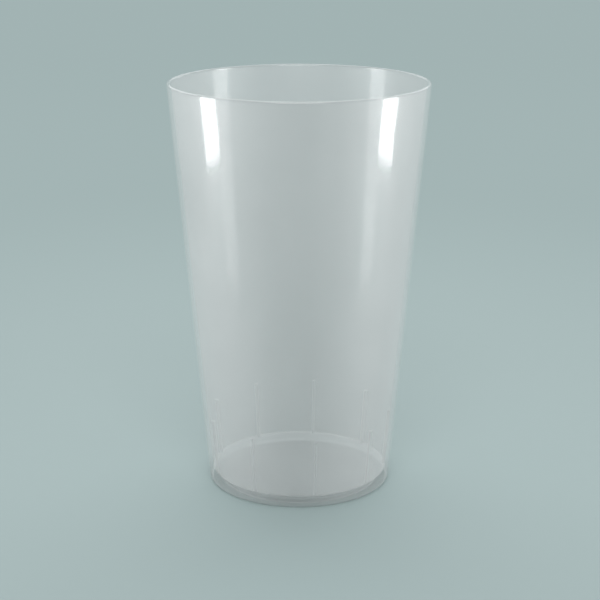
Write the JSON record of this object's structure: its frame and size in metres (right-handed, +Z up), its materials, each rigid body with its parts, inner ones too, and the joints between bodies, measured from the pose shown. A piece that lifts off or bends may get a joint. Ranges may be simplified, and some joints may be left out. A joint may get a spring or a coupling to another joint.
{
  "type": "plastic tumbler cup",
  "caption": "Tall flared drinking cup of milky translucent plastic, with a plain rounded lip, a ring foot and short stacking ribs inside.",
  "frame": {"origin": "centre of the ring foot, on the surface that the cup stands on", "axes": "+Z up along the cup's axis, out of its mouth; +X is the direction of one of the stacking ribs, and the picture looks along +Y"},
  "size_m": [0.088, 0.088, 0.14],
  "materials": {
    "tumbler": "gloss"
  },
  "bodies": {
    "root": {"tumbler": "tumbler"}
  },
  "joints": []
}
